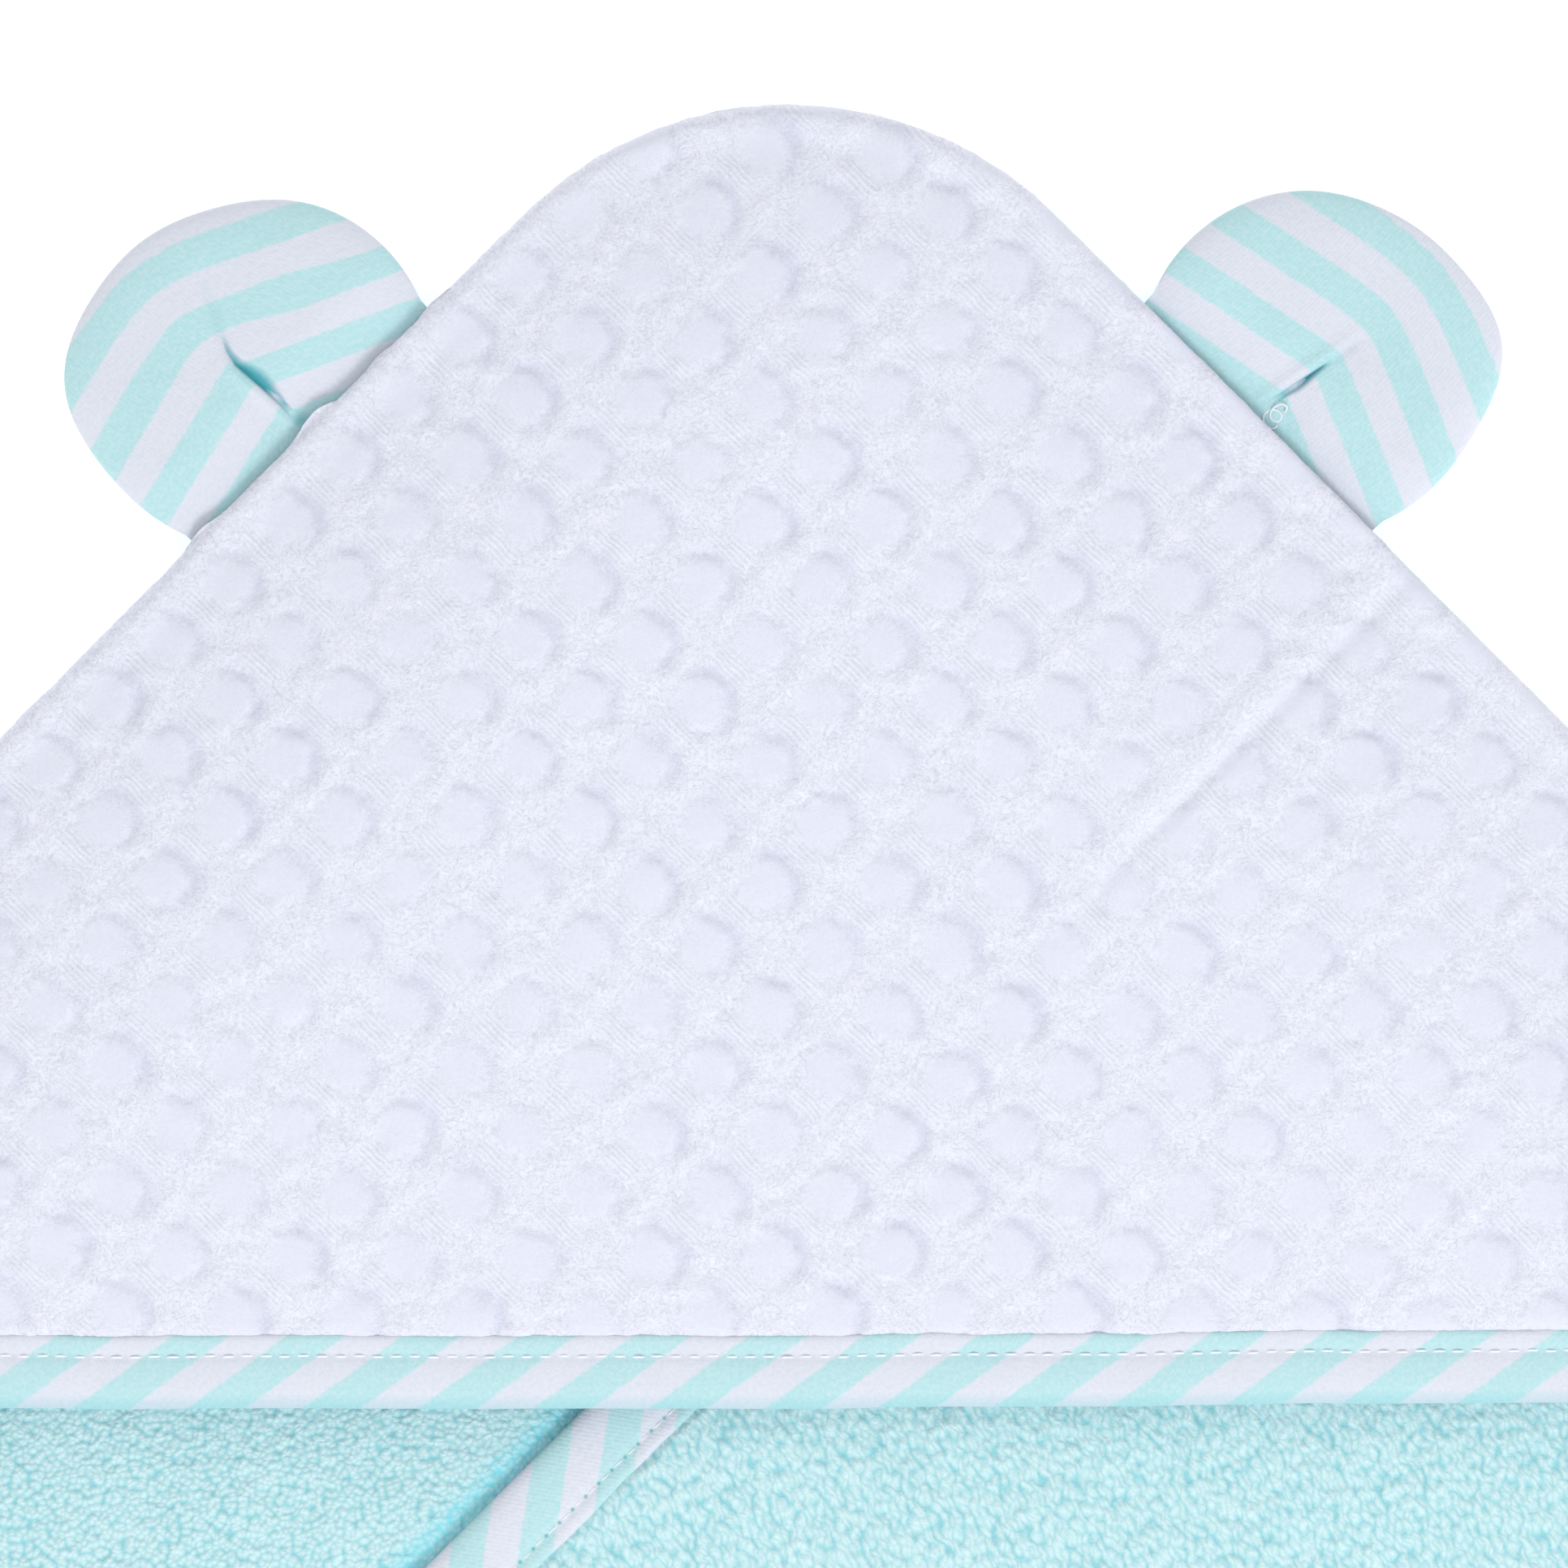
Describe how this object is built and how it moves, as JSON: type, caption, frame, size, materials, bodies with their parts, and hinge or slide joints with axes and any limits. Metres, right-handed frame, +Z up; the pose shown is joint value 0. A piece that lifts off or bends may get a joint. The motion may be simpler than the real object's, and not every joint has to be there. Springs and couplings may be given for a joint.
{
  "type": "hooded baby towel",
  "caption": "Terry baby towel laid flat, with a dimpled corner hood, jersey ears, a bound edge and its foot corner folded up under the hood.",
  "frame": {"origin": "On the underside of the towel, on the hood's centre line, halfway between the hood's bending line and the fold of the foot.", "axes": "+Z up from the table, +Y towards the tip of the hood, +X to the right seen from above, along the towel's widest extent."},
  "size_m": [0.9583, 0.5401, 0.0143],
  "materials": {
    "mint_terry": "pale mint cotton terry with short uncut loops",
    "white_dimple_terry": "cool white sculpted terry with a lattice of soft round cushions",
    "striped_jersey": "smooth knitted jersey in mint and white stripes",
    "white_thread": "white sewing thread"
  },
  "bodies": {
    "towel_body": {"towel_centre": "mint_terry", "foot_flap_centre": "mint_terry", "foot_left_binding": "striped_jersey", "foot_right_binding": "striped_jersey", "foot_left_stitching": "white_thread", "foot_right_stitching": "white_thread"},
    "left_wing": {"towel_left_wing": "mint_terry", "left_wing_binding": "striped_jersey", "left_wing_stitching": "white_thread", "foot_flap_left": "mint_terry", "foot_left_corner_binding": "striped_jersey", "foot_left_corner_stitching": "white_thread"},
    "right_wing": {"towel_right_wing": "mint_terry", "right_wing_binding": "striped_jersey", "right_wing_stitching": "white_thread", "foot_flap_right": "mint_terry", "foot_right_corner_binding": "striped_jersey", "foot_right_corner_stitching": "white_thread"},
    "hood": {"hood_back": "mint_terry", "hood_panel": "white_dimple_terry", "hood_front_binding": "striped_jersey", "hood_front_stitching": "white_thread", "hood_seam_allowance": "white_dimple_terry", "hood_seam_stitching": "white_thread", "foot_tip": "mint_terry", "foot_tip_binding": "striped_jersey", "foot_tip_stitching": "white_thread", "ear_left_root": "striped_jersey", "ear_right_root": "striped_jersey"},
    "ear_left": {"ear_left_front": "striped_jersey", "ear_left_back": "striped_jersey"},
    "ear_right": {"ear_right_front": "striped_jersey", "ear_right_back": "striped_jersey"}
  },
  "joints": [
    {"name": "left_wing_wrap", "type": "hinge", "parent": "towel_body", "child": "left_wing", "pos_m": [-0.2225, 0, 0.00645], "axis": [0, 1, 0], "range_deg": [0, 120]},
    {"name": "right_wing_wrap", "type": "hinge", "parent": "towel_body", "child": "right_wing", "pos_m": [0.2225, 0, 0.00645], "axis": [0, -1, 0], "range_deg": [0, 120]},
    {"name": "hood_raise", "type": "hinge", "parent": "towel_body", "child": "hood", "pos_m": [0, 0.169, 0.00645], "axis": [1, 0, 0], "range_deg": [0, 90]},
    {"name": "ear_left_flop", "type": "hinge", "parent": "hood", "child": "ear_left", "pos_m": [-0.07396, 0.32121, 0.0052], "axis": [0.7071, 0.7071, 0], "range_deg": [0, 100]},
    {"name": "ear_right_flop", "type": "hinge", "parent": "hood", "child": "ear_right", "pos_m": [0.07396, 0.32121, 0.0052], "axis": [0.7071, -0.7071, 0], "range_deg": [0, 100]}
  ]
}
